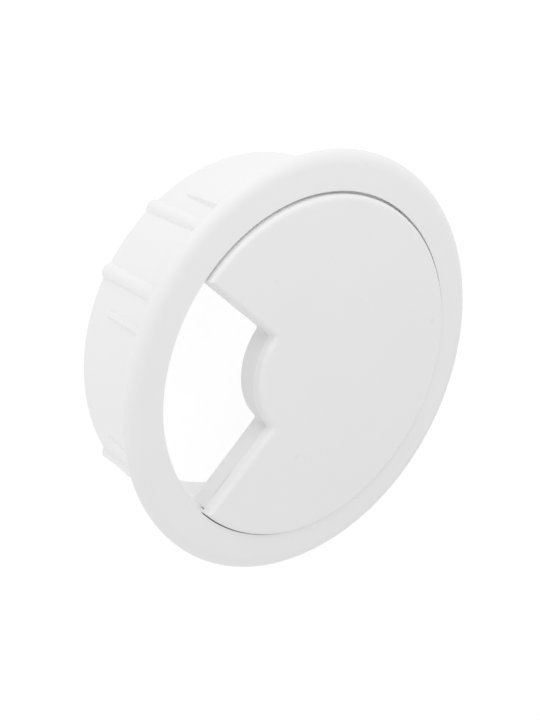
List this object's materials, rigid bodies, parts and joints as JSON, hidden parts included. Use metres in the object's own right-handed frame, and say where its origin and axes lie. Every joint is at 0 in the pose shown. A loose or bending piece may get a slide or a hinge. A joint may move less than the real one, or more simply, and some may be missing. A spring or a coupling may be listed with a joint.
{
  "type": "cable grommet",
  "caption": "Round plastic desk cable grommet: a flanged liner sleeve with grip ribs outside, and a cap with a sector-shaped cable outlet round its hub.",
  "frame": {"origin": "on the grommet's axis, in the plane of the flange's underside, which lies on the desk top", "axes": "+Z along the axis, from the sleeve to the cap; the cable outlet opens towards -Y; +X to its side"},
  "size_m": [0.067, 0.067, 0.019],
  "materials": {
    "liner_plastic": "satin moulded white",
    "cap_plastic": "satin moulded white"
  },
  "bodies": {
    "root": {"liner": "liner_plastic", "cap": "cap_plastic"}
  },
  "joints": []
}
